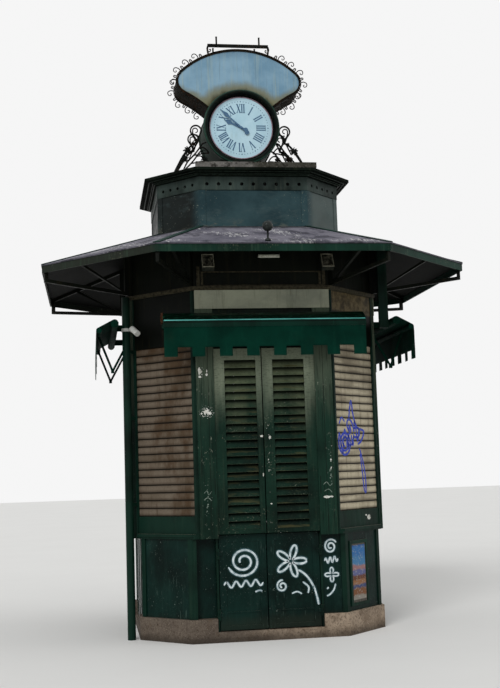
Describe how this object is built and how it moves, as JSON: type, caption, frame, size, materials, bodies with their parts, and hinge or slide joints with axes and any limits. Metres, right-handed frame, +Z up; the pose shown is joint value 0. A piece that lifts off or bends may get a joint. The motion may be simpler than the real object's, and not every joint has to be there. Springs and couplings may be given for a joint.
{
  "type": "street kiosk",
  "caption": "Wooden street kiosk with cut corners, louvred and roller shutters, wide bracketed eaves, a lantern, a drum clock and a fan-shaped light box on top",
  "frame": {"origin": "middle of the plan, on the ground under the stone plinth", "axes": "+X to the right along the shop front, +Y away from the viewer, so the front with the doors faces -Y, +Z up"},
  "size_m": [4.042, 4.042, 6.058],
  "materials": {
    "stone": "rough tan stone",
    "concrete": "rough concrete",
    "green_paint": "worn dark green gloss paint",
    "roller_shutter_paint": "dirty cream paint",
    "roof_sheet": "weathered grey sheet",
    "lantern_paint": "dark slate green paint",
    "grey_paint": "light grey paint",
    "dial_white": "off-white enamel",
    "hand_paint": "dark blue-grey paint",
    "wrought_iron": "painted wrought iron",
    "sign_metal": "dark paint with rust",
    "sign_panes": "milky, dirty at the edges",
    "awning_metal": "teal green paint",
    "awning_cloth": "teal green cloth",
    "lamp_metal": "satin",
    "steel_fittings": "dull steel",
    "white_plastic": "white gloss"
  },
  "bodies": {
    "kiosk": {"awning_case": "awning_metal", "awning_valance": "awning_cloth", "back_hands": "hand_paint", "base_corner_posts": "green_paint", "base_main_panels": "green_paint", "base_oblique_panels": "green_paint", "blocking_bars": "grey_paint", "body_posts": "green_paint", "clock_base": "green_paint", "clock_bezels": "green_paint", "clock_dials": "dial_white", "clock_drum": "green_paint", "closed_leaves": "green_paint", "crown_bar": "wrought_iron", "door_frames": "green_paint", "door_hinges": "steel_fittings", "drainpipe": "green_paint", "eave_brackets": "green_paint", "eave_fascia": "green_paint", "eave_lamps": "lamp_metal", "floor_slab": "concrete", "frieze_boards": "green_paint", "frieze_ledge": "green_paint", "hanger_board": "green_paint", "header_boards": "green_paint", "hip_caps": "green_paint", "hole_band": "green_paint", "lantern_cornice": "green_paint", "lantern_roof": "roof_sheet", "lantern_strips": "lantern_paint", "lantern_walls": "lantern_paint", "oblique_ledges": "green_paint", "oblique_upper_panels": "green_paint", "plinth_stones": "stone", "poster_case": "green_paint", "ring_beams": "green_paint", "roller_guides": "green_paint", "roller_shutters": "roller_shutter_paint", "roof_ball": "lamp_metal", "roof_slopes": "roof_sheet", "scroll_brackets": "wrought_iron", "shutter_leaf_left": "green_paint", "shutter_leaf_right": "green_paint", "side_awning_cloths": "awning_cloth", "side_awning_frames": "awning_metal", "side_awning_valances": "awning_cloth", "side_shutters": "green_paint", "sign_box": "sign_metal", "sign_fringe": "wrought_iron", "sign_glass": "sign_panes", "signboards": "green_paint", "sill_panels": "green_paint", "stile_boards": "green_paint", "wall_camera": "white_plastic"},
    "door_left": {"door_leaf_left": "green_paint"},
    "door_right": {"door_leaf_right": "green_paint"},
    "hour_hand": {"hour_hand": "hand_paint"},
    "minute_hand": {"minute_hand": "hand_paint"}
  },
  "joints": [
    {"name": "door_left_hinge", "type": "hinge", "parent": "kiosk", "child": "door_left", "pos_m": [-0.4645, -1.149, 0.51], "axis": [0, 0, -1], "range_deg": [0, 100]},
    {"name": "door_right_hinge", "type": "hinge", "parent": "kiosk", "child": "door_right", "pos_m": [0.4645, -1.149, 0.51], "axis": [0, 0, 1], "range_deg": [0, 100]},
    {"name": "minute_hand_turn", "type": "hinge", "parent": "kiosk", "child": "minute_hand", "pos_m": [0, -0.236, 5.053], "axis": [0, 1, 0], "continuous": true},
    {"name": "hour_hand_turn", "type": "hinge", "parent": "kiosk", "child": "hour_hand", "pos_m": [0, -0.228, 5.053], "axis": [0, 1, 0], "continuous": true}
  ],
  "couplings": [
    {"joint": "hour_hand_turn", "follows": "minute_hand_turn", "ratio": 0.083333}
  ]
}
